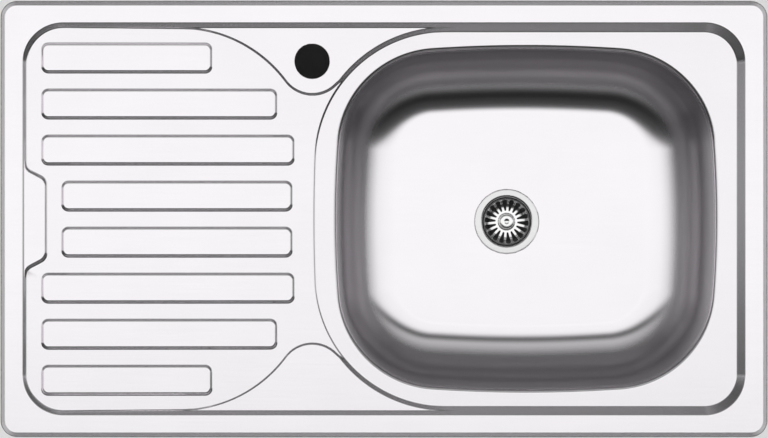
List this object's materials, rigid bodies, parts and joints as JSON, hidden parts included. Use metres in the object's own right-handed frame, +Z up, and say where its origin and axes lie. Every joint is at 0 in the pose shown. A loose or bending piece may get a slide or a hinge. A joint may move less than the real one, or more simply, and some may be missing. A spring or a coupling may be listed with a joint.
{
  "type": "kitchen sink with drainboard",
  "caption": "Inset stainless kitchen sink pressed from one sheet, with a deep rounded bowl, a ribbed drainboard, a tap ledge with an open hole, a basket strainer waste and fixing clips.",
  "frame": {"origin": "the middle of the rim's outline, level with the top of the worktop that the rim lies on", "axes": "+X from the drainboard to the bowl, +Y to the wall (the side with the tap hole), +Z up"},
  "size_m": [0.765, 0.435, 0.2216],
  "materials": {
    "stainless": "satin, lightly brushed",
    "bright_steel": "polished stainless",
    "zinc_steel": "zinc plated",
    "rubber": "matt black",
    "foam": "matt dark grey foam",
    "bitumen": "matt black-brown sheet",
    "white_plastic": "smooth moulded"
  },
  "bodies": {
    "sink": {"sink_shell": "stainless", "rim_seal_back": "foam", "rim_seal_right": "foam", "rim_seal_front": "foam", "rim_seal_left": "foam", "bowl_sound_pad_left": "bitumen", "bowl_sound_pad_right": "bitumen", "waste_flange": "bright_steel", "waste_top_seal": "rubber", "waste_bottom_seal": "rubber", "waste_body": "white_plastic", "waste_screw": "bright_steel", "clip_back_left_bracket": "zinc_steel", "clip_back_right_bracket": "zinc_steel", "clip_front_left_bracket": "zinc_steel", "clip_front_right_bracket": "zinc_steel", "clip_left_end_bracket": "zinc_steel", "clip_right_end_bracket": "zinc_steel"},
    "strainer": {"strainer_basket": "bright_steel", "strainer_post": "bright_steel", "strainer_stopper": "rubber", "strainer_spring_ring": "bright_steel"},
    "clip_back_left_screw": {"clip_back_left_screw": "zinc_steel", "clip_back_left_retainer": "zinc_steel"},
    "clip_back_left_claw": {"clip_back_left_claw": "zinc_steel"},
    "clip_back_right_screw": {"clip_back_right_screw": "zinc_steel", "clip_back_right_retainer": "zinc_steel"},
    "clip_back_right_claw": {"clip_back_right_claw": "zinc_steel"},
    "clip_front_left_screw": {"clip_front_left_screw": "zinc_steel", "clip_front_left_retainer": "zinc_steel"},
    "clip_front_left_claw": {"clip_front_left_claw": "zinc_steel"},
    "clip_front_right_screw": {"clip_front_right_screw": "zinc_steel", "clip_front_right_retainer": "zinc_steel"},
    "clip_front_right_claw": {"clip_front_right_claw": "zinc_steel"},
    "clip_left_end_screw": {"clip_left_end_screw": "zinc_steel", "clip_left_end_retainer": "zinc_steel"},
    "clip_left_end_claw": {"clip_left_end_claw": "zinc_steel"},
    "clip_right_end_screw": {"clip_right_end_screw": "zinc_steel", "clip_right_end_retainer": "zinc_steel"},
    "clip_right_end_claw": {"clip_right_end_claw": "zinc_steel"}
  },
  "joints": [
    {"name": "basket_lift", "type": "slide", "parent": "sink", "child": "strainer", "axis": [0, 0, 1], "range_m": [-0.004, 0.06]},
    {"name": "clip_back_left_travel", "type": "slide", "parent": "sink", "child": "clip_back_left_screw", "axis": [0, 0, 1], "range_m": [-0.006, 0.01]},
    {"name": "clip_back_left_swivel", "type": "hinge", "parent": "clip_back_left_screw", "child": "clip_back_left_claw", "pos_m": [-0.23, 0.201, -0.045], "axis": [0, 0, 1], "continuous": true},
    {"name": "clip_back_right_travel", "type": "slide", "parent": "sink", "child": "clip_back_right_screw", "axis": [0, 0, 1], "range_m": [-0.006, 0.01]},
    {"name": "clip_back_right_swivel", "type": "hinge", "parent": "clip_back_right_screw", "child": "clip_back_right_claw", "pos_m": [0.23, 0.201, -0.045], "axis": [0, 0, 1], "continuous": true},
    {"name": "clip_front_left_travel", "type": "slide", "parent": "sink", "child": "clip_front_left_screw", "axis": [0, 0, 1], "range_m": [-0.006, 0.01]},
    {"name": "clip_front_left_swivel", "type": "hinge", "parent": "clip_front_left_screw", "child": "clip_front_left_claw", "pos_m": [-0.23, -0.201, -0.045], "axis": [0, 0, 1], "continuous": true},
    {"name": "clip_front_right_travel", "type": "slide", "parent": "sink", "child": "clip_front_right_screw", "axis": [0, 0, 1], "range_m": [-0.006, 0.01]},
    {"name": "clip_front_right_swivel", "type": "hinge", "parent": "clip_front_right_screw", "child": "clip_front_right_claw", "pos_m": [0.23, -0.201, -0.045], "axis": [0, 0, 1], "continuous": true},
    {"name": "clip_left_end_travel", "type": "slide", "parent": "sink", "child": "clip_left_end_screw", "axis": [0, 0, 1], "range_m": [-0.006, 0.01]},
    {"name": "clip_left_end_swivel", "type": "hinge", "parent": "clip_left_end_screw", "child": "clip_left_end_claw", "pos_m": [-0.366, 0, -0.045], "axis": [0, 0, 1], "continuous": true},
    {"name": "clip_right_end_travel", "type": "slide", "parent": "sink", "child": "clip_right_end_screw", "axis": [0, 0, 1], "range_m": [-0.006, 0.01]},
    {"name": "clip_right_end_swivel", "type": "hinge", "parent": "clip_right_end_screw", "child": "clip_right_end_claw", "pos_m": [0.366, 0, -0.045], "axis": [0, 0, 1], "continuous": true}
  ]
}
